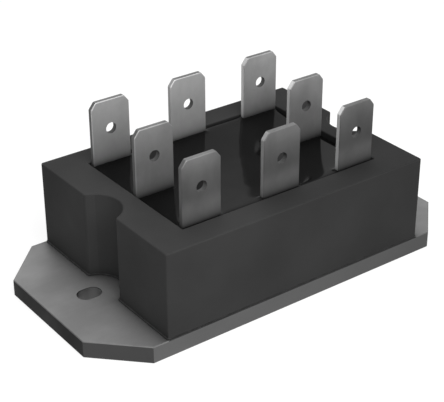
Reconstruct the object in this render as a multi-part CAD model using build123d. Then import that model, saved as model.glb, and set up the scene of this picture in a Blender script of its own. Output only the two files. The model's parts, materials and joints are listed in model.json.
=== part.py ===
# Thyristor module: a flat metal base plate with a slot at each end, a moulded
# housing frame standing on it, a soldered bridge of four thyristor chips in
# the frame, and eight upright blade terminals coming out of the potting.
from build123d import *
import os

os.makedirs("parts", exist_ok=True)

# Sizes in millimetres. X runs along the module, Y across it and Z up, with
# the underside of the base plate at zero and its middle at the origin.

# Base plate
plate_length = 63.5
plate_width = 32.4
plate_thickness = 2.6
plate_corner = 6.75
plate_edge_break = 0.1
slot_end_distance = 6.85
slot_width = 2.6
slot_length = 3.5

# Housing frame: it stands back from the edges of the plate. The walls are
# thick at the rim and thinner lower down, where the chamber for the board is
# wider than the opening above it.
housing_end_setback = 9.25
housing_side_setback = 0.15
housing_top = 15.75
rim_end_wall = 5.5
rim_side_wall = 4.2
chamber_end_wall = 4.35
chamber_side_wall = 2.75
chamber_height = 6.6
housing_corner_radius = 0.3
housing_rim_radius = 0.2
notch_radius = 4.2
notch_depth = 3.0
notch_mouth_radius = 0.5

# Adhesive that holds the frame to the plate
adhesive_thickness = 0.15
adhesive_inset = 0.2

# Potting
potting_recess = 0.6
potting_depth = 3.4

# Ceramic board, built up from the plate
board_clearance = 0.8
board_solder_thickness = 0.15
copper_thickness = 0.3
ceramic_thickness = 0.63
copper_margin = 0.6
track_gap = 0.8
pad_depth = 4.5
column_width = 5.6
arm_width = 5.3

# Chips, and the solder under them and under the terminal feet
chip_side = 4.5
chip_thickness = 0.35
joint_thickness = 0.1
joint_margin = 0.25

# Clips from the chip tops to the tracks
clip_width = 2.6
clip_thickness = 0.4
clip_contact = 2.0
clip_ramp = 0.8
clip_rise = 1.0
clip_bend = 0.4
clip_offset = 0.5
clip_chip_inset = 1.6
clip_track_reach = 3.0

# Gate wires from the chip corners to the corner pads
wire_diameter = 0.4
wire_foot_width = 0.7
wire_foot_height = 0.25
wire_contact = 0.7
wire_ramp = 0.7
wire_rise = 1.2
wire_bend = 0.4
wire_chip_inset = 0.9
wire_pad_inset_x = 1.3
wire_pad_inset_y = 0.7

# Blade terminals
blade_width = 6.35
blade_thickness = 0.8
blade_rise = 9.6
blade_root = 1.1
blade_end_gap = 0.25
blade_side_gap = 0.38
blade_corner_x = 0.8
blade_corner_z = 1.03
blade_corner_radius = 0.4
blade_bevel = 0.1
blade_hole_diameter = 1.7
blade_hole_drop = 4.5
leg_width = 3.6
leg_bend = 0.8
foot_length = 2.6

# Places along and across the plate
slot_column = plate_length / 2 - slot_end_distance
housing_length = plate_length - 2 * housing_end_setback
housing_width = plate_width - 2 * housing_side_setback

# Space inside the frame
opening_length = housing_length - 2 * rim_end_wall
opening_width = housing_width - 2 * rim_side_wall
chamber_length = housing_length - 2 * chamber_end_wall
chamber_width = housing_width - 2 * chamber_side_wall

# Heights, from the plate up
housing_bottom = plate_thickness + adhesive_thickness
chamber_top = housing_bottom + chamber_height
potting_top = housing_top - potting_recess
potting_bottom = potting_top - potting_depth
lower_copper_bottom = plate_thickness + board_solder_thickness
ceramic_bottom = lower_copper_bottom + copper_thickness
ceramic_top = ceramic_bottom + ceramic_thickness
copper_top = ceramic_top + copper_thickness
joint_top = copper_top + joint_thickness
chip_top = joint_top + chip_thickness

# Board outline, and the limits of the copper tracks on it
ceramic_length = chamber_length - 2 * board_clearance
ceramic_width = chamber_width - 2 * board_clearance
copper_end = ceramic_length / 2 - copper_margin
copper_side = ceramic_width / 2 - copper_margin
pad_start = copper_side - pad_depth
column_start = copper_end - column_width
column_end = pad_start - track_gap
middle_end = column_start - track_gap
arm_start = column_end - arm_width
negative_start = arm_start - track_gap

# Middles of the chips: the upper ones are centred on the arms, and the
# outer edge of the lower ones lines up with the inner edge of the pads.
chip_column = (track_gap / 2 + column_start) / 2
upper_chip_row = (arm_start + column_end) / 2
lower_chip_row = chip_side / 2 - pad_start

# Places and heights of the blades
blade_column = opening_length / 2 - blade_width / 2 - blade_end_gap
blade_row = opening_width / 2 - blade_thickness / 2 - blade_side_gap
blade_top = housing_top + blade_rise
blade_bottom = potting_bottom + blade_root


def slab(x_from, x_to, y_from, y_to, z_from, z_to):
    # Straight-sided block between the given limits.
    length = x_to - x_from
    width = y_to - y_from
    height = z_to - z_from
    middle = ((x_from + x_to) / 2, (y_from + y_to) / 2, (z_from + z_to) / 2)
    return Pos(*middle) * Box(length, width, height)


def centred_slab(length, width, z_from, z_to):
    # Block centred on the module between two heights.
    return slab(-length / 2, length / 2, -width / 2, width / 2, z_from, z_to)


def base_plate():
    # Plate with cut corners and one slot at each end.
    outline = Rectangle(plate_length, plate_width)
    outline = chamfer(outline.vertices(), plate_corner)
    for end in (-1, 1):
        outline -= Pos(end * slot_column, 0) * SlotOverall(slot_length, slot_width)
    plate = extrude(outline, plate_thickness)
    rims = plate.edges().filter_by(Plane.XY)
    return chamfer(rims, plate_edge_break)


def housing_outline():
    # Outside line of the frame, with a round notch in each end.
    outline = Rectangle(housing_length, housing_width)
    outline = fillet(outline.vertices(), housing_corner_radius)
    notch_middle = housing_length / 2 + notch_radius - notch_depth
    for end in (-1, 1):
        outline -= Pos(end * notch_middle, 0) * Circle(notch_radius)
    mouths = [corner for corner in outline.vertices() if abs(corner.Y) < notch_radius]
    return fillet(mouths, notch_mouth_radius)


def housing():
    # Frame open from top to bottom, with a ledge above the wider chamber.
    frame = extrude(housing_outline(), housing_top - housing_bottom)
    frame = Pos(0, 0, housing_bottom) * frame
    frame -= centred_slab(opening_length, opening_width, chamber_top, housing_top)
    frame -= centred_slab(chamber_length, chamber_width, housing_bottom, chamber_top)
    rim = frame.faces().sort_by(Axis.Z)[-1]
    return fillet(rim.edges(), housing_rim_radius)


def housing_adhesive():
    # Flat bead under the whole foot of the frame, a little inside its edge.
    bead = extrude(offset(housing_outline(), -adhesive_inset), adhesive_thickness)
    bead = Pos(0, 0, plate_thickness) * bead
    return bead - centred_slab(chamber_length, chamber_width, plate_thickness, housing_bottom)


def board_layers():
    # Solder, lower copper and ceramic of the board.
    length = 2 * copper_end
    width = 2 * copper_side
    return {
        "board_solder": centred_slab(length, width, plate_thickness, lower_copper_bottom),
        "lower_copper": centred_slab(length, width, lower_copper_bottom, ceramic_bottom),
        "ceramic_board": centred_slab(ceramic_length, ceramic_width, ceramic_bottom, ceramic_top),
    }


def track(x_from, x_to, y_from, y_to):
    # Patch of upper copper.
    return slab(x_from, x_to, y_from, y_to, ceramic_top, copper_top)


def tracks():
    # Upper copper: a positive and a negative track in the middle, two
    # alternating current tracks at the ends and a gate pad in each corner.
    column = track(-copper_end, -column_start, -column_end, column_end)
    arm = track(-column_start, -track_gap / 2, arm_start, column_end)
    side = column + arm
    pad = track(-copper_end, -column_start, pad_start, copper_side)
    return {
        "positive_track": track(-middle_end, middle_end, pad_start, copper_side),
        "negative_track": track(-middle_end, middle_end, -copper_side, negative_start),
        "ac_track_1": side,
        "ac_track_2": mirror(side, Plane.YZ),
        "gate_pad_1": pad,
        "gate_pad_2": mirror(pad, Plane.YZ),
        "gate_pad_3": mirror(pad, Plane.XZ),
        "gate_pad_4": mirror(mirror(pad, Plane.XZ), Plane.YZ),
    }


def chip_slab(side, row, z_from, z_to):
    # Square block at the place of a chip; side is -1 on the left, 1 on the right.
    x = side * chip_column
    half = chip_side / 2
    return slab(x - half, x + half, row - half, row + half, z_from, z_to)


def link_path(start, finish, contact, ramp, heights, bend):
    # Line that lies flat at both ends and rises between them, with the
    # direction it runs in and the direction across it.
    run = Vector(*finish) - Vector(*start)
    along = run.normalized()
    across = (-along.Y, along.X, 0)
    first, middle, last = heights
    steps = [
        (0, first),
        (contact, first),
        (contact + ramp, middle),
        (run.length - contact - ramp, middle),
        (run.length - contact, last),
        (run.length, last),
    ]
    points = [(start[0] + along.X * d, start[1] + along.Y * d, z) for d, z in steps]
    return FilletPolyline(*points, radius=bend), along, across


def cathode_clip(start, finish):
    # Bent strip from a chip top to a track.
    half = clip_thickness / 2
    heights = (chip_top + half, chip_top + half + clip_rise, copper_top + half)
    path, along, across = link_path(start, finish, clip_contact, clip_ramp, heights, clip_bend)
    section = Plane(origin=path @ 0, x_dir=across, z_dir=along) * Rectangle(clip_width, clip_thickness)
    return sweep(section, path=path)


def gate_wire(start, finish):
    # Round wire with a flattened foot at each end.
    first = chip_top + wire_foot_height
    heights = (first, first + wire_rise, copper_top + wire_foot_height)
    path, along, across = link_path(start, finish, wire_contact, wire_ramp, heights, wire_bend)
    section = Plane(origin=path @ 0, x_dir=across, z_dir=along) * Circle(wire_diameter / 2)
    wire = sweep(section, path=path)
    for point, level, way in ((start, chip_top, 1), (finish, copper_top, -1)):
        middle = Vector(*point) + along * (way * wire_contact / 2)
        seat = Plane(origin=(middle.X, middle.Y, level), x_dir=along, z_dir=(0, 0, 1))
        wire += extrude(seat * Rectangle(wire_contact, wire_foot_width), wire_foot_height)
    return wire


def upper_chip_links(side):
    # Clip and gate wire of an upper chip, with side as for its block.
    clip_x = side * (chip_column - clip_offset)
    clip_from = upper_chip_row - chip_side / 2 + clip_chip_inset
    clip = cathode_clip((clip_x, clip_from), (clip_x, pad_start + clip_track_reach))
    spot = chip_side / 2 - wire_chip_inset
    start = (side * (chip_column + spot), upper_chip_row + spot)
    finish = (side * (column_start + wire_pad_inset_x), pad_start + wire_pad_inset_y)
    return clip, gate_wire(start, finish)


def lower_chip_links(side):
    # Clip and gate wire of a lower chip, with side as for its block.
    clip_y = lower_chip_row + clip_offset
    clip_from = chip_column - chip_side / 2 + clip_chip_inset
    clip = cathode_clip((side * clip_from, clip_y), (side * (column_start + clip_track_reach), clip_y))
    spot = chip_side / 2 - wire_chip_inset
    start = (side * (chip_column + spot), lower_chip_row - spot)
    finish = (side * (column_start + wire_pad_inset_x), -pad_start - wire_pad_inset_y)
    return clip, gate_wire(start, finish)


def chip_pieces():
    # Chips with their solder, clips and gate wires: 1 and 2 in the upper
    # row, 3 and 4 in the lower row.
    rows = ((1, upper_chip_row, upper_chip_links), (3, lower_chip_row, lower_chip_links))
    found = {}
    for first, row, links in rows:
        for number, side in ((first, -1), (first + 1, 1)):
            clip, wire = links(side)
            found[f"chip_solder_{number}"] = chip_slab(side, row, copper_top, joint_top)
            found[f"thyristor_chip_{number}"] = chip_slab(side, row, joint_top, chip_top)
            found[f"cathode_clip_{number}"] = clip
            found[f"gate_wire_{number}"] = wire
    return found


def blade():
    # Flat tab with cut and rounded corners, bevelled edges and a detent hole.
    half = blade_width / 2
    shoulder = blade_top - blade_corner_z
    tip = half - blade_corner_x
    outline = Polyline(
        (-half, blade_bottom),
        (half, blade_bottom),
        (half, shoulder),
        (tip, blade_top),
        (-tip, blade_top),
        (-half, shoulder),
        close=True,
    )
    outline = make_face(outline)
    corners = [vertex for vertex in outline.vertices() if vertex.Y > blade_bottom]
    outline = fillet(corners, blade_corner_radius)
    sheet = extrude(Plane.XZ * outline, blade_thickness / 2, both=True)
    faces = sheet.faces().filter_by(Axis.Y)
    edges = [edge for face in faces for edge in face.edges() if edge.center().Z > blade_bottom]
    sheet = chamfer(edges, blade_bevel)
    hole = Cylinder(blade_hole_diameter / 2, 2 * blade_thickness, rotation=(90, 0, 0))
    return sheet - Pos(0, 0, blade_top - blade_hole_drop) * hole


def terminal():
    # Blade with a narrow leg bent into a foot that points to +Y.
    level = joint_top + blade_thickness / 2
    reach = foot_length - blade_thickness / 2
    path = FilletPolyline((0, reach, level), (0, 0, level), (0, 0, blade_bottom), radius=leg_bend)
    start = Plane(origin=path @ 0, x_dir=(1, 0, 0), z_dir=(0, -1, 0))
    leg = sweep(start * Rectangle(leg_width, blade_thickness), path=path)
    return blade() + leg


def terminal_solder():
    # Thin pad of solder under a terminal foot.
    half = leg_width / 2 + joint_margin
    y_from = -blade_thickness / 2 - joint_margin
    y_to = y_from + foot_length + 2 * joint_margin
    return slab(-half, half, y_from, y_to, copper_top, joint_top)


def terminals():
    # Terminals and their solder, by column and row of a three by three grid
    # whose middle place is empty; the far row's feet point back to the board.
    grid = {
        "gate_terminal_1": (-1, 1),
        "positive_terminal": (0, 1),
        "gate_terminal_2": (1, 1),
        "ac_terminal_1": (-1, 0),
        "ac_terminal_2": (1, 0),
        "gate_terminal_3": (-1, -1),
        "negative_terminal": (0, -1),
        "gate_terminal_4": (1, -1),
    }
    piece = terminal()
    solder = terminal_solder()
    found = {}
    for name, (column, row) in grid.items():
        turn = 180 if row > 0 else 0
        place = Pos(column * blade_column, row * blade_row, 0) * Rot(0, 0, turn)
        found[name] = place * piece
        found[f"{name}_solder"] = place * solder
    return found


def fills(inside):
    # Soft gel round everything on the board, and the hard resin above it.
    gel = centred_slab(chamber_length, chamber_width, plate_thickness, chamber_top)
    gel += centred_slab(opening_length, opening_width, chamber_top, potting_bottom)
    resin = centred_slab(opening_length, opening_width, potting_bottom, potting_top)
    return {"silicone_gel": gel - inside, "potting_resin": resin - inside}


inside = {**board_layers(), **tracks(), **chip_pieces(), **terminals()}
outside = {
    "base_plate": base_plate(),
    "housing": housing(),
    "housing_adhesive": housing_adhesive(),
}
pieces = {**outside, **inside, **fills(list(inside.values()))}

for name, shape in pieces.items():
    export_step(shape, f"parts/{name}.step")
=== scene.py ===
import bpy
import json
import math
from mathutils import Matrix, Vector


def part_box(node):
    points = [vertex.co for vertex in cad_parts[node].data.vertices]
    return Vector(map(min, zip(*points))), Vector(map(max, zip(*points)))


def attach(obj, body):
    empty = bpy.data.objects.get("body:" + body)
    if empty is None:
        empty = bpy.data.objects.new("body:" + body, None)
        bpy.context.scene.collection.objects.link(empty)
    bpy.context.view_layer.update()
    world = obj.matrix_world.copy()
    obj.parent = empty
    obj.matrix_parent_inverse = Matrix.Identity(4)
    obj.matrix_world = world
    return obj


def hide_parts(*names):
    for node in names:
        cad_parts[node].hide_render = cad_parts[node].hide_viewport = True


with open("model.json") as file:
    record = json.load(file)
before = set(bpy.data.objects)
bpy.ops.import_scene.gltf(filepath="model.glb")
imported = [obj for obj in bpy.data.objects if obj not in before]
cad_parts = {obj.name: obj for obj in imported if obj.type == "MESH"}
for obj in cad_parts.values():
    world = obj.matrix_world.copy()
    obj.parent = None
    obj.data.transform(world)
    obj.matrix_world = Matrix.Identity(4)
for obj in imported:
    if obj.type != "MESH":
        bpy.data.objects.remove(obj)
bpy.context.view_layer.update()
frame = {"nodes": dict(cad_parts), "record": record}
print("scene: frame loaded,", len(frame["nodes"]), "nodes")

# Everything is in metres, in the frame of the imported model.
mm = 0.001

# Sizes of the solids that more than one finish or piece follows
module = {
    "housingEnd": 22.5 * mm,
    "notchRadius": 4.2 * mm,
    "notchDepth": 3.0 * mm,
    "columnPitch": 13.575 * mm,    # the blades stand on this grid, but for its middle place
    "rowPitch": 11.07 * mm,
}


# Small helpers for shader and geometry trees

def plug(tree, socket, value):
    # a socket gets a link or a plain value
    if isinstance(value, bpy.types.NodeSocket):
        tree.links.new(value, socket)
    else:
        socket.default_value = value


def sums(tree, kind, a, b=0.0):
    node = tree.nodes.new("ShaderNodeMath")
    node.operation = kind
    plug(tree, node.inputs[0], a)
    plug(tree, node.inputs[1], b)
    return node.outputs[0]


def times(tree, a, b):
    return sums(tree, "MULTIPLY", a, b)


def minus(tree, a, b):
    return sums(tree, "SUBTRACT", a, b)


def absolute(tree, a):
    return sums(tree, "ABSOLUTE", a)


def diagonal(tree, a, b):
    # the length of the diagonal of a and b
    squares = sums(tree, "ADD", times(tree, a, a), times(tree, b, b))
    return sums(tree, "SQRT", squares)


def split(tree, vector):
    node = tree.nodes.new("ShaderNodeSeparateXYZ")
    tree.links.new(vector, node.inputs[0])
    return node.outputs


def joined(tree, x, y, z):
    node = tree.nodes.new("ShaderNodeCombineXYZ")
    for socket, value in zip(node.inputs, (x, y, z)):
        plug(tree, socket, value)
    return node.outputs[0]


def remap(tree, value, lowIn, highIn, lowOut, highOut):
    node = tree.nodes.new("ShaderNodeMapRange")
    plug(tree, node.inputs["Value"], value)
    node.inputs["From Min"].default_value = lowIn
    node.inputs["From Max"].default_value = highIn
    node.inputs["To Min"].default_value = lowOut
    node.inputs["To Max"].default_value = highOut
    return node.outputs["Result"]


def fadeAlong(tree, value, reach, levels):
    # from the first level at minus the reach to the second one at the reach
    return remap(tree, value, -reach, reach, *levels)


def mixLevels(tree, fac, first, second):
    # a mix node's numbers are its inputs 2 and 3
    node = tree.nodes.new("ShaderNodeMix")
    for socket, value in ((node.inputs[0], fac), (node.inputs[2], first), (node.inputs[3], second)):
        plug(tree, socket, value)
    return node.outputs[0]


def mixColours(tree, fac, first, second):
    # and its colours are its inputs 6 and 7
    node = tree.nodes.new("ShaderNodeMix")
    node.data_type = "RGBA"
    plug(tree, node.inputs[0], fac)
    for socket, colour in ((node.inputs[6], first), (node.inputs[7], second)):
        plug(tree, socket, colour if isinstance(colour, bpy.types.NodeSocket) else (*colour, 1.0))
    return node.outputs[2]


def shaded(tree, colour, level):
    node = tree.nodes.new("ShaderNodeVectorMath")
    node.operation = "SCALE"
    plug(tree, node.inputs[0], colour)
    plug(tree, node.inputs["Scale"], level)
    return node.outputs[0]


def placeAndFacing(tree):
    # object coordinates and the normal, each as x, y and z
    coords = tree.nodes.new("ShaderNodeTexCoord")
    return split(tree, coords.outputs["Object"]), split(tree, coords.outputs["Normal"])


def isWithin(tree, place, reach):
    # 1 where x and y are both nearer to the middle than the reach
    withinX = sums(tree, "LESS_THAN", absolute(tree, place[0]), reach[0])
    withinY = sums(tree, "LESS_THAN", absolute(tree, place[1]), reach[1])
    return sums(tree, "MINIMUM", withinX, withinY)


curveTop = 2.0    # a curve node ends at 1, so levels are drawn as their share of this


def profile(tree, value, points):
    # a smooth curve through a few points
    node = tree.nodes.new("ShaderNodeFloatCurve")
    line = node.mapping.curves[0].points
    line[0].location = (0.0, points[0][1] / curveTop)
    line[1].location = (1.0, points[-1][1] / curveTop)
    for at, level in points[1:-1]:
        line.new(at, level / curveTop)
    node.mapping.update()
    plug(tree, node.inputs["Value"], value)
    return times(tree, node.outputs[0], curveTop)


# Helpers for finishes. A noise is given by its cells per metre along x, y and z, its detail,
# and a shift where it would otherwise look like another one.

def newFinish(name):
    mat = bpy.data.materials.new(name)
    mat.use_nodes = True
    tree = mat.node_tree
    tree.nodes.clear()
    out = tree.nodes.new("ShaderNodeOutputMaterial")
    skin = tree.nodes.new("ShaderNodeBsdfPrincipled")
    tree.links.new(skin.outputs[0], out.inputs[0])
    return mat, tree, skin


def grain(tree, cells, detail, shift=0.0):
    # noise on object coordinates
    coords = tree.nodes.new("ShaderNodeTexCoord")
    place = tree.nodes.new("ShaderNodeMapping")
    place.inputs["Scale"].default_value = cells
    place.inputs["Location"].default_value = (shift, shift, shift)
    noise = tree.nodes.new("ShaderNodeTexNoise")
    noise.inputs["Scale"].default_value = 1.0
    noise.inputs["Detail"].default_value = detail
    tree.links.new(coords.outputs["Object"], place.inputs["Vector"])
    tree.links.new(place.outputs["Vector"], noise.inputs["Vector"])
    return noise.outputs["Fac"]


def spread(tree, noise, window):
    # noise keeps near its middle, so this window of it is spread over 0 to 1
    return remap(tree, noise, *window, 0.0, 1.0)


def twoGrains(tree, fine, broad, fineShare, window):
    tone = sums(tree, "ADD", times(tree, fine, fineShare), times(tree, broad, 1 - fineShare))
    return spread(tree, tone, window)


def varyRoughness(tree, skin, tone, rough):
    # the first value where the tone is dark and the second where it is light
    plug(tree, skin.inputs["Roughness"], remap(tree, tone, 0.0, 1.0, *rough))


def roughen(tree, skin, height, depth):
    node = tree.nodes.new("ShaderNodeBump")
    node.inputs["Strength"].default_value = 1.0
    node.inputs["Distance"].default_value = depth
    plug(tree, node.inputs["Height"], height)
    tree.links.new(node.outputs["Normal"], skin.inputs["Normal"])


def wornEdges(tree, width, turns):
    # 0 on flat parts and 1 on edges, where the rounded normal turns away from the flat one
    bevel = tree.nodes.new("ShaderNodeBevel")
    bevel.inputs["Radius"].default_value = width
    shape = tree.nodes.new("ShaderNodeNewGeometry")
    dot = tree.nodes.new("ShaderNodeVectorMath")
    dot.operation = "DOT_PRODUCT"
    tree.links.new(bevel.outputs["Normal"], dot.inputs[0])
    tree.links.new(shape.outputs["True Normal"], dot.inputs[1])
    return remap(tree, dot.outputs["Value"], *turns, 0.0, 1.0)


# Finishes of the pieces that show

black = (0.0, 0.0, 0.0)

plateMetal = {
    "dark": (0.226, 0.226, 0.226),
    "light": (0.275, 0.275, 0.275),
    "rough": (0.70, 0.58),
    "metal": 1.0,
    "rolling": ((60, 2000, 2000), 3.0),
    "mottle": ((110, 150, 150), 5.0, 3.1),
    "rollingShare": 0.04,          # of the tone, and the mottle has the rest
    "window": (0.35, 0.65),
    "grainDepth": 0.0002 * mm,
    "upright": 0.5,                # below this share of z in its normal a face is a sheared edge,
    "level": 0.85,                 # above this one it is the top or the underside, and else a broken edge
    # the sheared edges are darker metal with painted shade and light on them: the ends painted far darker
    # than the sides, and the slots lighter
    "ends": (0.010, 0.010, 0.010),           # the sheared edges at the two ends,
    "sides": (0.120, 0.120, 0.120),          # along the sides,
    "slots": (0.160, 0.160, 0.160),          # and in the slots
    "slotsWithin": (27.5 * mm, 2.0 * mm),
    "turn": 2.4,                   # how fast the sides' tone gives way to the ends' on the cut corners
    "sideFade": (1.22, 0.84),      # painted light: how bright the sides are at their left and right end
    "fadeReach": 22 * mm,
    "breaks": (0.42, 0.85),        # painted shade: how much darker the broken edges are: free, and at housing and slots
    "paintedShadeDark": 0.58,             # painted shade: how much darker the top is at the housing's foot,
    "paintedShadeFade": 1.05 * mm,        # and how far out that dies away
    "notchMouth": 4.02 * mm,       # half the width of a notch at the housing's end
}


def paintedFootShade(tree, x, y):
    # painted shade: how much darker the plate is, by its distance from the end wall or the notch of the
    # housing
    s = plateMetal
    radius = module["notchRadius"]
    centre = module["housingEnd"] - module["notchDepth"] + radius
    out = minus(tree, x, module["housingEnd"])
    aside = sums(tree, "MAXIMUM", minus(tree, s["notchMouth"], y), 0.0)
    fromWall = diagonal(tree, sums(tree, "MAXIMUM", out, 0.0), aside)
    fromCentre = diagonal(tree, minus(tree, x, centre), y)
    fromNotch = absolute(tree, minus(tree, radius, fromCentre))
    inNotch = sums(tree, "LESS_THAN", out, 0.0)
    distance = mixLevels(tree, inNotch, fromWall, fromNotch)
    fade = sums(tree, "EXPONENT", sums(tree, "DIVIDE", distance, -s["paintedShadeFade"]))
    return times(tree, fade, s["paintedShadeDark"])


def makePlateMetal():
    # dull plated sheet with its rolling grain along x and darker sheared edges, with painted light and
    # shade on its edges and painted shade at the housing's foot
    s = plateMetal
    mat, tree, skin = newFinish("plate_metal")
    place, facing = placeAndFacing(tree)
    x = absolute(tree, place[0])
    y = absolute(tree, place[1])
    lines = grain(tree, *s["rolling"])
    tone = twoGrains(tree, lines, grain(tree, *s["mottle"]), s["rollingShare"], s["window"])

    level = absolute(tree, facing[2])
    isSheared = sums(tree, "LESS_THAN", level, s["upright"])
    isBroken = minus(tree, sums(tree, "LESS_THAN", level, s["level"]), isSheared)
    isTop = sums(tree, "GREATER_THAN", facing[2], s["upright"])
    inSlots = isWithin(tree, place, s["slotsWithin"])
    atHousing = sums(tree, "LESS_THAN", x, module["housingEnd"])

    # painted light and shade on the sheared edges: the ends, the sides and the slots each get their own
    # level
    sides = shaded(tree, s["sides"], fadeAlong(tree, place[0], s["fadeReach"], s["sideFade"]))
    sideShare = sums(tree, "POWER", absolute(tree, facing[1]), s["turn"])
    sheared = mixColours(tree, sideShare, s["ends"], sides)
    sheared = mixColours(tree, inSlots, sheared, s["slots"])

    # painted shade on the broken edges and round the housing's foot
    covered = sums(tree, "MAXIMUM", atHousing, inSlots)
    breaks = times(tree, isBroken, mixLevels(tree, covered, *s["breaks"]))
    stainAndShade = times(tree, paintedFootShade(tree, x, y), isTop)
    stainAndShade = sums(tree, "MAXIMUM", stainAndShade, breaks)
    sheet = mixColours(tree, stainAndShade, mixColours(tree, tone, s["dark"], s["light"]), black)

    plug(tree, skin.inputs["Base Color"], mixColours(tree, isSheared, sheet, sheared))
    varyRoughness(tree, skin, tone, s["rough"])
    skin.inputs["Metallic"].default_value = s["metal"]
    roughen(tree, skin, lines, s["grainDepth"])
    return mat


housingPlastic = {
    "dark": (0.036, 0.036, 0.036),
    "light": (0.047, 0.047, 0.047),
    "rough": (0.72, 0.60),
    "specular": 0.05,
    "texture": ((1800, 1800, 1800), 2.0),
    "textureDepth": 0.012 * mm,
    "clouds": ((70, 70, 70), 5.0, 1.7),
    "window": (0.3, 0.7),
    "wornWidth": 0.25 * mm,
    "wornTurns": (0.99, 0.85),     # wear begins at the first of these cosines and is full at the second
    "wornGloss": 0.12,             # how much less rough a worn edge is
    "facing": 0.6,                 # above this share of x or z in its normal a face is an end or the rim
    "sideFade": (1.07, 0.82),      # painted light: how bright the sides are at their left and right end,
    "rimFade": (0.99, 0.61),       # the rim, likewise,
    "lengthReach": 22 * mm,
    "endFade": (1.12, 0.84),       # and the end walls at the near and the far side
    "widthReach": 16 * mm,
    "inner": 0.45,                 # painted shade on the walls round the potting
    "innerWithin": (17.05 * mm, 11.9 * mm),
    "footDark": 0.46,              # painted shade: how much darker the end walls are at the foot,
    "footHeight": 2.75 * mm,       # where that is,
    "footFade": 1.0 * mm,          # and how far up it dies away
    "endsWithin": 15.9 * mm,       # the end walls lie within this y, and the side walls outside it
}


def makeHousingPlastic():
    # black moulding with a fine texture, a little polished on its edges, with painted light and shade on
    # its faces
    s = housingPlastic
    mat, tree, skin = newFinish("housing_plastic")
    place, facing = placeAndFacing(tree)
    clouds = spread(tree, grain(tree, *s["clouds"]), s["window"])

    # painted light and shade: the sides, the rim and the end walls each have their own level, fading
    # along the length or the width
    sides = fadeAlong(tree, place[0], s["lengthReach"], s["sideFade"])
    rim = fadeAlong(tree, place[0], s["lengthReach"], s["rimFade"])
    ends = fadeAlong(tree, place[1], s["widthReach"], s["endFade"])
    isEnd = sums(tree, "GREATER_THAN", absolute(tree, facing[0]), s["facing"])
    isRim = sums(tree, "GREATER_THAN", facing[2], s["facing"])
    level = mixLevels(tree, isEnd, sides, ends)
    # painted shade on the walls round the potting
    level = mixLevels(tree, isWithin(tree, place, s["innerWithin"]), level, s["inner"])
    level = mixLevels(tree, isRim, level, rim)
    colour = shaded(tree, mixColours(tree, clouds, s["dark"], s["light"]), level)

    # painted shade at the foot of the end walls
    above = sums(tree, "DIVIDE", minus(tree, s["footHeight"], place[2]), s["footFade"])
    stainAndShade = times(tree, sums(tree, "EXPONENT", above), s["footDark"])
    betweenSides = sums(tree, "LESS_THAN", absolute(tree, place[1]), s["endsWithin"])
    stainAndShade = times(tree, stainAndShade, betweenSides)
    plug(tree, skin.inputs["Base Color"], mixColours(tree, stainAndShade, colour, black))

    worn = wornEdges(tree, s["wornWidth"], s["wornTurns"])
    rough = remap(tree, clouds, 0.0, 1.0, *s["rough"])
    plug(tree, skin.inputs["Roughness"], minus(tree, rough, times(tree, worn, s["wornGloss"])))
    skin.inputs["Specular IOR Level"].default_value = s["specular"]
    roughen(tree, skin, grain(tree, *s["texture"]), s["textureDepth"])
    return mat


pottingResin = {
    "dark": (0.004, 0.004, 0.004),
    "light": (0.006, 0.006, 0.006),
    "rough": (0.06, 0.13),
    "specular": 0.05,
    "flow": ((130, 100, 130), 3.0, 5.3),
    "window": (0.3, 0.7),
    "flowDepth": 0.03 * mm,
}


def makePottingResin():
    # cast resin with a slightly uneven gloss
    s = pottingResin
    mat, tree, skin = newFinish("potting_resin")
    flow = grain(tree, *s["flow"])
    tone = spread(tree, flow, s["window"])
    plug(tree, skin.inputs["Base Color"], mixColours(tree, tone, s["dark"], s["light"]))
    varyRoughness(tree, skin, tone, s["rough"])
    skin.inputs["Specular IOR Level"].default_value = s["specular"]
    roughen(tree, skin, flow, s["flowDepth"])
    return mat


tinPlate = {
    "dark": (0.205, 0.205, 0.205),
    "light": (0.255, 0.255, 0.255),
    "rough": (0.70, 0.58),
    "metal": 0.75,
    "drawn": ((2200, 2200, 140), 3.0),
    "stainAndShade": ((240, 240, 170), 5.0, 8.0),
    "drawnShare": 0.06,            # of the tone, and the stain has the rest
    "window": (0.35, 0.65),
    "grainDepth": 0.0002 * mm,
    # painted light and shade: how bright the front faces are, over this span of height, on the near and
    # the far row:
    # painted reflections in bands up the height, darkest at the foot and brightest at the tip
    "span": (15 * mm, 25.5 * mm),
    "near": ((0.0, 0.3), (0.2, 0.62), (0.5, 0.36), (1.0, 0.75)),
    "far": ((0.0, 0.5), (0.25, 1.35), (0.55, 1.6), (1.0, 1.95)),
    "farMiddle": 1.2,              # painted light: the middle blade of the far row is brighter
    "middleWithin": 5 * mm,
    "rowReach": 11 * mm,
    "columns": (1.08, 0.92),       # painted light on the left and the right column
    "columnReach": 14 * mm,
    "backs": (0.70, 1.20),         # painted shade and light on the faces that are turned away, at the resin and the tip
    "edges": (0.5, 2.75),          # painted reflections on the cut edges, from the left to the right column
    # painted light on the tips
    "tips": 0.75,
    "holes": 0.34,                 # painted shade on the walls of the detent holes
    "holeHeight": 20.85 * mm,
    "holeReach": 1.2 * mm,
    "facingY": 0.5,                # a face is a front or a back above this share of y in its normal,
    "facingUp": 0.9,               # and a tip above this share of z
    "bladeShadeDark": 0.60,              # painted shade where the blades stand in the resin: how much darker they are at its surface,
    "bladeShadeFoot": 15.15 * mm,        # where that is in the middle row,
    "bladeShadeRise": 0.045,             # how much higher it is per metre towards the outer rows,
    "bladeShadeFade": 0.45 * mm,         # and how far up it dies away
}


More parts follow.
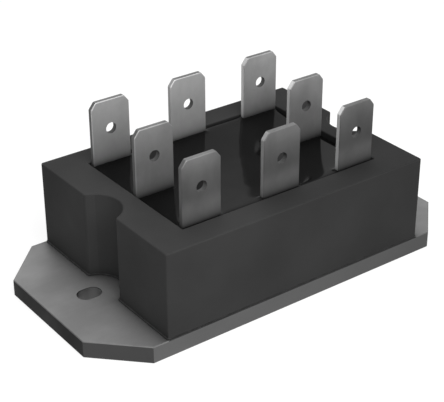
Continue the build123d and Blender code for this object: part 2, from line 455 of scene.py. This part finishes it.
def paintedFrontLight(tree, place, height):
    # painted light and shade: how bright a front face is, by row, column and height
    s = tinPlate
    near = profile(tree, height, s["near"])
    isMiddle = sums(tree, "LESS_THAN", absolute(tree, place[0]), s["middleWithin"])
    far = profile(tree, height, s["far"])
    far = times(tree, far, mixLevels(tree, isMiddle, 1.0, s["farMiddle"]))
    front = mixLevels(tree, fadeAlong(tree, place[1], s["rowReach"], (0.0, 1.0)), near, far)
    return times(tree, front, fadeAlong(tree, place[0], s["columnReach"], s["columns"]))


def paintedEdgeLight(tree, place, facing):
    # painted light and shade: how bright a cut edge is, with the tips and the detent holes
    s = tinPlate
    edges = fadeAlong(tree, place[0], s["columnReach"], s["edges"])
    isTip = sums(tree, "GREATER_THAN", facing[2], s["facingUp"])
    edges = mixLevels(tree, isTip, edges, s["tips"])
    column = sums(tree, "ROUND", sums(tree, "DIVIDE", place[0], module["columnPitch"]))
    aside = minus(tree, place[0], times(tree, column, module["columnPitch"]))
    above = minus(tree, place[2], s["holeHeight"])
    isHole = sums(tree, "LESS_THAN", diagonal(tree, aside, above), s["holeReach"])
    return mixLevels(tree, isHole, edges, s["holes"])


def paintedBladeFootShade(tree, place):
    # painted shade: how much darker a blade is near where it stands in the resin
    s = tinPlate
    foot = sums(tree, "ADD", times(tree, absolute(tree, place[1]), s["bladeShadeRise"]), s["bladeShadeFoot"])
    footFalloff = sums(tree, "EXPONENT", sums(tree, "DIVIDE", minus(tree, foot, place[2]), s["bladeShadeFade"]))
    return sums(tree, "MINIMUM", times(tree, footFalloff, s["bladeShadeDark"]), s["bladeShadeDark"])


def makeTinPlate():
    # matt tin over brass, drawn along the blade, with painted light and shade on its faces
    s = tinPlate
    mat, tree, skin = newFinish("tinned_brass")
    place, facing = placeAndFacing(tree)
    lines = grain(tree, *s["drawn"])
    tone = twoGrains(tree, lines, grain(tree, *s["stainAndShade"]), s["drawnShare"], s["window"])

    # painted light and shade by face, row, column and height, and painted shade at the resin
    height = remap(tree, place[2], *s["span"], 0.0, 1.0)
    backs = remap(tree, height, 0.0, 1.0, *s["backs"])
    isFront = sums(tree, "LESS_THAN", facing[1], -s["facingY"])
    isFlat = sums(tree, "GREATER_THAN", absolute(tree, facing[1]), s["facingY"])
    level = mixLevels(tree, isFront, backs, paintedFrontLight(tree, place, height))
    level = mixLevels(tree, isFlat, paintedEdgeLight(tree, place, facing), level)
    level = times(tree, level, minus(tree, 1.0, paintedBladeFootShade(tree, place)))

    colour = mixColours(tree, tone, s["dark"], s["light"])
    plug(tree, skin.inputs["Base Color"], shaded(tree, colour, level))
    varyRoughness(tree, skin, tone, s["rough"])
    skin.inputs["Metallic"].default_value = s["metal"]
    roughen(tree, skin, lines, s["grainDepth"])
    return mat


# The finishes under the potting and of the bead: dark and light colour, their roughness,
# cells per metre, metal or not
innerFinishes = {
    "silicone_gel": ((0.70, 0.70, 0.66), (0.78, 0.78, 0.75), (0.3, 0.15), 200, 0.0),
    "adhesive": ((0.010, 0.010, 0.010), (0.018, 0.018, 0.018), (0.7, 0.5), 900, 0.0),
    "solder": ((0.42, 0.42, 0.41), (0.55, 0.55, 0.54), (0.5, 0.3), 1500, 1.0),
    "copper": ((0.62, 0.33, 0.22), (0.74, 0.43, 0.30), (0.45, 0.25), 1200, 1.0),
    "alumina": ((0.80, 0.80, 0.77), (0.88, 0.88, 0.86), (0.75, 0.6), 2500, 0.0),
    "silicon": ((0.12, 0.12, 0.14), (0.20, 0.20, 0.23), (0.3, 0.15), 900, 1.0),
    "wire_aluminium": ((0.68, 0.68, 0.69), (0.80, 0.80, 0.81), (0.4, 0.25), 3000, 1.0),
}

# and what they all share
innerLook = {
    "detail": 4.0,
    "window": (0.3, 0.7),
    "specular": 0.2,
    "depth": 0.003 * mm,
}


def makeInnerFinish(name):
    s = innerLook
    dark, light, rough, cells, metal = innerFinishes[name]
    mat, tree, skin = newFinish(name)
    spots = grain(tree, (cells, cells, cells), s["detail"])
    tone = spread(tree, spots, s["window"])
    plug(tree, skin.inputs["Base Color"], mixColours(tree, tone, dark, light))
    varyRoughness(tree, skin, tone, rough)
    skin.inputs["Metallic"].default_value = metal
    skin.inputs["Specular IOR Level"].default_value = s["specular"]
    roughen(tree, skin, spots, s["depth"])
    return mat


finishes = {
    "plate_metal": makePlateMetal(),
    "housing_plastic": makeHousingPlastic(),
    "potting_resin": makePottingResin(),
    "tinned_brass": makeTinPlate(),
}
for name in innerFinishes:
    finishes[name] = makeInnerFinish(name)

for entry in frame["record"]["subparts"]:
    node = frame["nodes"][entry["node"]]
    node.data.materials.clear()
    node.data.materials.append(finishes[entry["material_slot"]])
print("scene: finishes made")


# Pieces made by geometry nodes

sharpFrom = math.radians(60)    # edges that turn more than this stay sharp


def newGeometryTree(name, inputs):
    # a group with a geometry input, named sizes and a material
    tree = bpy.data.node_groups.new(name, "GeometryNodeTree")
    tree.interface.new_socket(name="Geometry", in_out="INPUT", socket_type="NodeSocketGeometry")
    tree.interface.new_socket(name="Geometry", in_out="OUTPUT", socket_type="NodeSocketGeometry")
    for title in inputs:
        tree.interface.new_socket(name=title, in_out="INPUT", socket_type="NodeSocketFloat")
    tree.interface.new_socket(name="Finish", in_out="INPUT", socket_type="NodeSocketMaterial")
    return tree, tree.nodes.new("NodeGroupInput")


def closeTree(tree, given, geometry):
    # smooth shading, then one real mesh with its finish
    smooth = tree.nodes.new("GeometryNodeSetShadeSmooth")
    real = tree.nodes.new("GeometryNodeRealizeInstances")
    coat = tree.nodes.new("GeometryNodeSetMaterial")
    out = tree.nodes.new("NodeGroupOutput")
    tree.links.new(geometry, smooth.inputs["Geometry"])
    tree.links.new(smooth.outputs[0], real.inputs[0])
    tree.links.new(real.outputs[0], coat.inputs["Geometry"])
    tree.links.new(given.outputs["Finish"], coat.inputs["Material"])
    tree.links.new(coat.outputs[0], out.inputs[0])


def runTree(name, tree, sizes, slot, points=(), edges=()):
    # runs the tree on an edge line or on nothing, and keeps the result as a plain mesh
    line = bpy.data.meshes.new(name)
    line.from_pydata(points, edges, [])
    piece = bpy.data.objects.new(name, line)
    bpy.context.scene.collection.objects.link(piece)
    mod = piece.modifiers.new(name, "NODES")
    mod.node_group = tree
    values = dict(sizes, Finish=finishes[slot])
    for item in tree.interface.items_tree:
        if item.in_out == "INPUT" and item.name in values:
            mod[item.identifier] = values[item.name]
    bpy.context.view_layer.update()
    ready = piece.evaluated_get(bpy.context.evaluated_depsgraph_get())
    mesh = bpy.data.meshes.new_from_object(ready)
    piece.modifiers.clear()
    piece.data = mesh
    mesh.set_sharp_from_angle(angle=sharpFrom)
    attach(piece, "root")
    print("scene:", name, "has", len(mesh.polygons), "faces")
    return piece


def swing(tree, cells, detail, amount):
    # noise about 0, at most half the amount to either side
    noise = tree.nodes.new("ShaderNodeTexNoise")
    plug(tree, noise.inputs["Scale"], cells)
    plug(tree, noise.inputs["Detail"], detail)
    return times(tree, minus(tree, noise.outputs["Fac"], 0.5), amount)


resinFill = {
    "Cell": 0.17 * mm,             # how fine the surface is cut
    "Column": module["columnPitch"],
    "Row": module["rowPitch"],
    "Blade Width": 6.35 * mm,
    "Blade Thickness": 0.8 * mm,
    "Wall Dip": 0.20 * mm,         # the resin has shrunk down along the walls
    "Wall Reach": 0.30 * mm,
    "Blade Rise": 0.14 * mm,       # and crept up the blades,
    "Blade Reach": 0.26 * mm,
    "Unevenness": 1.6,             # here more and there less
    "Rise Cells": 900.0,
    "Sunk": 0.20 * mm,             # how much lower than the solid's top the surface is in the middle,
    "Bowl": 0.58 * mm,             # how much it rises from there to the long walls,
    "Highest": 0.52 * mm,          # and how high above the solid's top that may bring it
    "Wave": 0.10 * mm,
    "Wave Cells": 110.0,
    "Noise Detail": 2.0,
}


def creep(tree, gap, rise, reach):
    # a rise that dies away over its reach
    fade = sums(tree, "EXPONENT", sums(tree, "DIVIDE", times(tree, gap, -1.0), reach))
    return times(tree, fade, rise)


def resinLift(tree, g, axes):
    # how far a point of the surface is above the solid's flat top
    wallGaps = []
    bladeGaps = []
    places = []
    directions = (
        (axes[0], g["Length"], g["Column"], g["Blade Width"]),
        (axes[1], g["Width"], g["Row"], g["Blade Thickness"]),
    )
    for value, span, pitch, bladeSize in directions:
        half = sums(tree, "DIVIDE", span, 2.0)
        wallGaps.append(minus(tree, half, absolute(tree, value)))
        place = sums(tree, "ROUND", sums(tree, "DIVIDE", value, pitch))
        places.append(absolute(tree, place))
        away = absolute(tree, minus(tree, value, times(tree, place, pitch)))
        gap = minus(tree, away, sums(tree, "DIVIDE", bladeSize, 2.0))
        bladeGaps.append(sums(tree, "MAXIMUM", gap, 0.0))

    wallDip = creep(tree, sums(tree, "MINIMUM", *wallGaps), g["Wall Dip"], g["Wall Reach"])
    bladeLift = creep(tree, diagonal(tree, *bladeGaps), g["Blade Rise"], g["Blade Reach"])
    hasBlade = sums(tree, "MINIMUM", sums(tree, "ADD", *places), 1.0)    # 0 at the middle place
    bladeLift = times(tree, bladeLift, hasBlade)
    jitter = swing(tree, g["Rise Cells"], g["Noise Detail"], g["Unevenness"])
    bladeLift = times(tree, bladeLift, sums(tree, "ADD", jitter, 1.0))

    wave = swing(tree, g["Wave Cells"], g["Noise Detail"], g["Wave"])
    share = sums(tree, "DIVIDE", axes[1], sums(tree, "DIVIDE", g["Width"], 2.0))
    bowl = times(tree, times(tree, share, share), g["Bowl"])
    lift = sums(tree, "ADD", minus(tree, wave, wallDip), minus(tree, bowl, g["Sunk"]))
    return sums(tree, "ADD", sums(tree, "MINIMUM", lift, g["Highest"]), bladeLift)


def makeResinFill():
    # a block as large as the solid, whose top is cut fine and lifted point by point
    low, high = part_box("potting_resin")
    sizes = dict(resinFill)
    sizes["Length"] = high[0] - low[0]
    sizes["Width"] = high[1] - low[1]
    sizes["Bottom"] = low[2]
    sizes["Top"] = high[2]
    tree, given = newGeometryTree("resinFill", sizes)
    g = given.outputs

    block = tree.nodes.new("GeometryNodeMeshCube")
    height = minus(tree, g["Top"], g["Bottom"])
    plug(tree, block.inputs["Size"], joined(tree, g["Length"], g["Width"], height))
    plug(tree, block.inputs["Vertices X"], sums(tree, "DIVIDE", g["Length"], g["Cell"]))
    plug(tree, block.inputs["Vertices Y"], sums(tree, "DIVIDE", g["Width"], g["Cell"]))

    spot = tree.nodes.new("GeometryNodeInputPosition")
    axes = split(tree, spot.outputs[0])
    lifted = tree.nodes.new("GeometryNodeSetPosition")
    tree.links.new(block.outputs["Mesh"], lifted.inputs["Geometry"])
    plug(tree, lifted.inputs["Selection"], sums(tree, "GREATER_THAN", axes[2], 0.0))
    plug(tree, lifted.inputs["Offset"], joined(tree, 0.0, 0.0, resinLift(tree, g, axes)))

    middle = sums(tree, "DIVIDE", sums(tree, "ADD", g["Top"], g["Bottom"]), 2.0)
    inPlace = tree.nodes.new("GeometryNodeTransform")
    tree.links.new(lifted.outputs[0], inPlace.inputs["Geometry"])
    plug(tree, inPlace.inputs["Translation"], joined(tree, 0.0, 0.0, middle))
    closeTree(tree, given, inPlace.outputs[0])

    piece = runTree("resin_fill", tree, sizes, "potting_resin")
    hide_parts("potting_resin")


makeResinFill()


adhesiveBead = {
    "Thickness": 0.19 * mm,
    "Unevenness": 0.5,
    "Cells": 420.0,
    "Noise Detail": 3.0,
    "Step": 0.2 * mm,
    "Ring": 10.0,                  # points round the bead
    # and the line that it follows
    "inset": 0.1 * mm,             # from the housing's side walls
    "cornerRadius": 0.3 * mm,
    "cornerSteps": 4,
    "notchSteps": 16,              # on each half of a notch
    "height": 2.71 * mm,
}


def housingFoot():
    # the line of the housing's foot, round both notches
    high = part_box("housing")[1]
    s = adhesiveBead
    radius = module["notchRadius"]
    corner = s["cornerRadius"]
    side = high[1] - s["inset"]
    middle = high[0] + radius - module["notchDepth"]
    opening = math.acos((middle - high[0]) / radius)
    half = []
    for step in range(-s["notchSteps"], s["notchSteps"] + 1):
        turn = math.pi - opening * step / s["notchSteps"]
        half.append((middle + radius * math.cos(turn), radius * math.sin(turn)))
    for end, first in ((1, 0.0), (-1, 90.0)):
        for step in range(s["cornerSteps"] + 1):
            turn = math.radians(first + 90.0 * step / s["cornerSteps"])
            x = end * (high[0] - corner) + corner * math.cos(turn)
            half.append((x, side - corner + corner * math.sin(turn)))
    other = [(-x, -y) for x, y in half]
    return [(x, y, s["height"]) for x, y in half + other]


def makeAdhesiveBead():
    # the thin uneven bead that was squeezed out along the foot of the housing
    inputs = ("Thickness", "Unevenness", "Cells", "Noise Detail", "Step", "Ring")
    sizes = {key: adhesiveBead[key] for key in inputs}
    tree, given = newGeometryTree("adhesiveBead", sizes)
    g = given.outputs
    line = tree.nodes.new("GeometryNodeMeshToCurve")
    tree.links.new(g["Geometry"], line.inputs[0])
    even = tree.nodes.new("GeometryNodeResampleCurve")
    even.mode = "LENGTH"
    tree.links.new(line.outputs[0], even.inputs["Curve"])
    plug(tree, even.inputs["Length"], g["Step"])
    ring = tree.nodes.new("GeometryNodeCurvePrimitiveCircle")
    plug(tree, ring.inputs["Resolution"], g["Ring"])
    plug(tree, ring.inputs["Radius"], g["Thickness"])
    tube = tree.nodes.new("GeometryNodeCurveToMesh")
    tree.links.new(even.outputs[0], tube.inputs["Curve"])
    tree.links.new(ring.outputs["Curve"], tube.inputs["Profile Curve"])
    jitter = swing(tree, g["Cells"], g["Noise Detail"], g["Unevenness"])
    plug(tree, tube.inputs["Scale"], sums(tree, "ADD", jitter, 1.0))
    closeTree(tree, given, tube.outputs[0])
    points = housingFoot()
    edges = [(n, (n + 1) % len(points)) for n in range(len(points))]
    runTree("adhesive_bead", tree, sizes, "adhesive", points, edges)


makeAdhesiveBead()


# Floor, backdrop, lamps and camera

studio = {
    "floorSize": 6.0,
    "floorLevel": -0.02 * mm,      # just under the plate
    "floorColour": (0.30, 0.30, 0.30),
    "floorGlow": 0.75,             # its own light, which shows only where it is looked at
    "skyColour": (1.0, 1.0, 1.0),
    "skyLight": 0.58,              # how strongly the sky lights things,
    "skySeen": 1.0,                # and how bright it is to the camera
}


def seenDirectly(tree):
    # 1 where the camera, a mirror or glass looks at the backdrop, 0 for the light that falls on things
    path = tree.nodes.new("ShaderNodeLightPath")
    seen = sums(tree, "MAXIMUM", path.outputs["Is Camera Ray"], path.outputs["Is Glossy Ray"])
    return sums(tree, "MAXIMUM", seen, path.outputs["Is Transmission Ray"])


def makeFloor():
    # paper that keeps the shadow, and glows only where it is looked at
    half = studio["floorSize"] / 2
    level = studio["floorLevel"]
    mesh = bpy.data.meshes.new("floor")
    corners = [(-half, -half, level), (half, -half, level), (half, half, level), (-half, half, level)]
    mesh.from_pydata(corners, [], [(0, 1, 2, 3)])
    floor = bpy.data.objects.new("floor", mesh)
    bpy.context.scene.collection.objects.link(floor)
    mat = bpy.data.materials.new("floor")
    mat.use_nodes = True
    tree = mat.node_tree
    tree.nodes.clear()
    out = tree.nodes.new("ShaderNodeOutputMaterial")
    paper = tree.nodes.new("ShaderNodeBsdfDiffuse")
    paper.inputs["Color"].default_value = (*studio["floorColour"], 1.0)
    glow = tree.nodes.new("ShaderNodeEmission")
    plug(tree, glow.inputs["Strength"], times(tree, seenDirectly(tree), studio["floorGlow"]))
    both = tree.nodes.new("ShaderNodeAddShader")
    tree.links.new(paper.outputs[0], both.inputs[0])
    tree.links.new(glow.outputs[0], both.inputs[1])
    tree.links.new(both.outputs[0], out.inputs[0])
    mesh.materials.append(mat)


def makeBackdrop():
    world = bpy.data.worlds.new("studio")
    bpy.context.scene.world = world
    world.use_nodes = True
    tree = world.node_tree
    tree.nodes.clear()
    out = tree.nodes.new("ShaderNodeOutputWorld")
    sky = tree.nodes.new("ShaderNodeBackground")
    sky.inputs["Color"].default_value = (*studio["skyColour"], 1.0)
    strength = remap(tree, seenDirectly(tree), 0.0, 1.0, studio["skyLight"], studio["skySeen"])
    plug(tree, sky.inputs["Strength"], strength)
    tree.links.new(sky.outputs[0], out.inputs[0])


# Where each lamp stands and how wide it is, in metres. Both point at the middle of the plate.
lamps = {
    "key": {"at": (-0.05, -0.165, 0.185), "width": 0.20, "watts": 0.54},
    "rear": {"at": (0.10, 0.38, 0.82), "width": 0.50, "watts": 1.0},
}


def makeLamps():
    for name, s in lamps.items():
        light = bpy.data.lights.new(name, "AREA")
        light.size = s["width"]
        light.energy = s["watts"]
        lamp = bpy.data.objects.new(name, light)
        bpy.context.scene.collection.objects.link(lamp)
        lamp.visible_camera = False
        lamp.location = s["at"]
        lamp.rotation_euler = (-Vector(s["at"])).to_track_quat("-Z", "Y").to_euler()


# The photograph's view: angles in degrees, place and clip in metres, lens and sensor in millimetres
camera = {
    "azimuth": -36.577,
    "elevation": 28.912,
    "roll": -0.165,
    "at": (-0.100023, -0.132424, 0.100734),
    "lens": 104.252,
    "sensor": 36,
    "clip": 0.005,
}


def makeCamera():
    s = camera
    lens = bpy.data.cameras.new("camera")
    lens.sensor_width = s["sensor"]
    lens.sensor_fit = "HORIZONTAL"
    lens.lens = s["lens"]
    lens.clip_start = s["clip"]
    eye = bpy.data.objects.new("camera", lens)
    bpy.context.scene.collection.objects.link(eye)
    turn = Matrix.Rotation(math.radians(s["azimuth"]), 4, "Z")
    tilt = Matrix.Rotation(math.radians(90 - s["elevation"]), 4, "X")
    roll = Matrix.Rotation(math.radians(s["roll"]), 4, "Z")
    eye.matrix_world = Matrix.Translation(s["at"]) @ turn @ tilt @ roll
    bpy.context.scene.camera = eye


makeFloor()
makeBackdrop()
makeLamps()
makeCamera()
bpy.context.scene.view_settings.view_transform = "Standard"
print("scene: studio ready")
